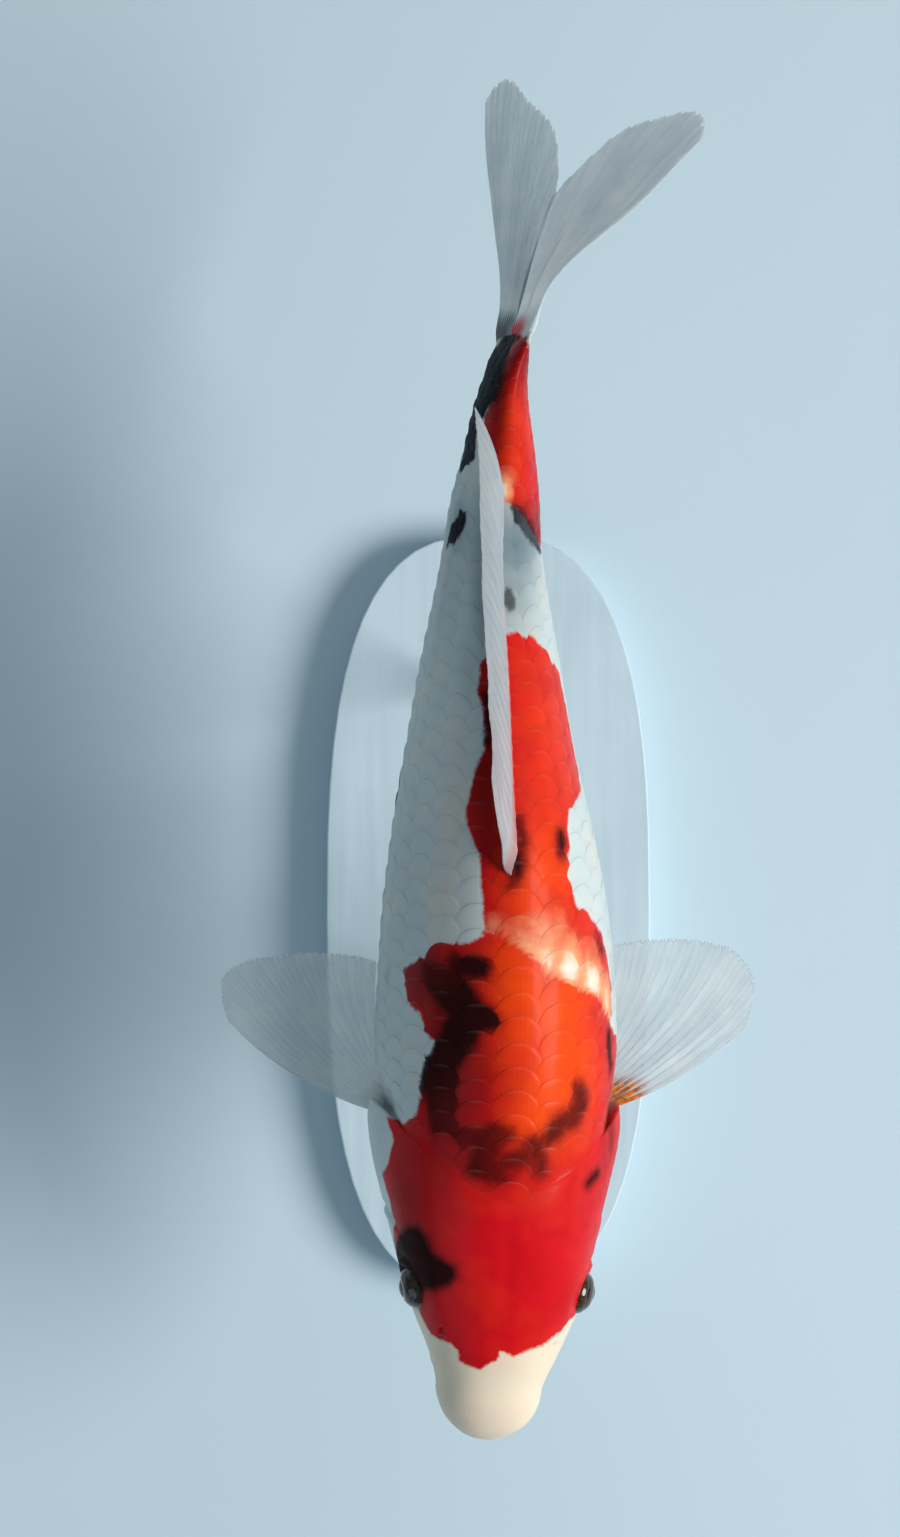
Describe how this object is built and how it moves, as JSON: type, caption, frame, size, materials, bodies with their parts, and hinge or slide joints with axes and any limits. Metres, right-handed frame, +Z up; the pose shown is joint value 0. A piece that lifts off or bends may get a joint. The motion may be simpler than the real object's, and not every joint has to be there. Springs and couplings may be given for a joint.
{
  "type": "koi carp",
  "caption": "Life-size still koi carp with a patterned body, fins and feelers, swimming level on a plain display stand.",
  "frame": {"origin": "middle of the stand's underside", "axes": "+Z up, the fish heads towards -Y and its tail is towards +Y, so its left side is at +X"},
  "size_m": [0.1715, 0.4299, 0.2305],
  "materials": {
    "head_skin": "wet scaleless skin, deep red with a cream snout",
    "jaw_skin": "wet scaleless skin, cream",
    "scaled_skin": "wet overlapping scales, white with orange-red and black patches",
    "fin": "translucent membrane over fine rays",
    "eye": "wet, dark with a brassy rim",
    "stand_paint": "pale blue-grey painted wood",
    "stand_steel": "satin"
  },
  "bodies": {
    "root": {"head": "head_skin", "lower_jaw": "jaw_skin", "gill_cover_left": "head_skin", "gill_cover_right": "head_skin", "eye_left": "eye", "eye_right": "eye", "barbel_front_left": "jaw_skin", "barbel_front_right": "jaw_skin", "barbel_back_left": "jaw_skin", "barbel_back_right": "jaw_skin", "trunk": "scaled_skin", "tail_stem": "scaled_skin", "dorsal_fin": "fin", "anal_fin": "fin", "pelvic_fin_left": "fin", "pelvic_fin_right": "fin", "pectoral_fin_left": "fin", "pectoral_fin_right": "fin", "tail_fin_upper": "fin", "tail_fin_lower": "fin", "stand_base": "stand_paint", "stand_rod_front": "stand_steel", "stand_rod_back": "stand_steel"}
  },
  "joints": []
}
